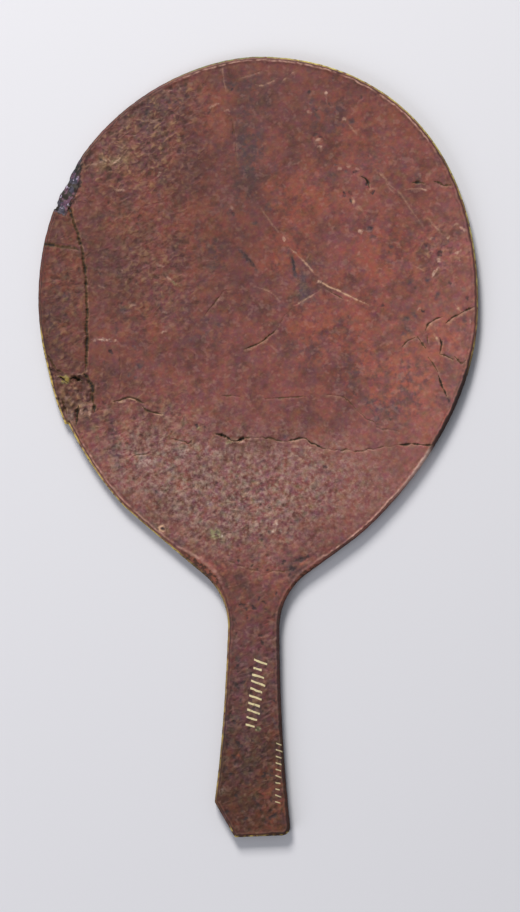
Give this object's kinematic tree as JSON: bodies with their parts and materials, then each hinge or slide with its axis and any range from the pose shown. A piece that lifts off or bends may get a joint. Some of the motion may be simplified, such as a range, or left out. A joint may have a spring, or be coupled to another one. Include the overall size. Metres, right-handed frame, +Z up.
{
  "type": "ancient copper hand mirror",
  "caption": "Ancient hand mirror of patinated copper: an egg-shaped flat disc with a low rim lip on a short flared handle, cracked and chipped along its left rim.",
  "frame": {"origin": "middle of the bounding box, on the resting underside", "axes": "+Y along the mirror from the handle's butt to the top of the disc, +Z up out of the reflecting face, +X to the right as seen from above"},
  "size_m": [0.141, 0.25, 0.0034],
  "materials": {
    "patinated_copper": "matt reddish-brown patina on copper, rough and pitted"
  },
  "bodies": {
    "root": {"mirror": "patinated_copper"}
  },
  "joints": []
}
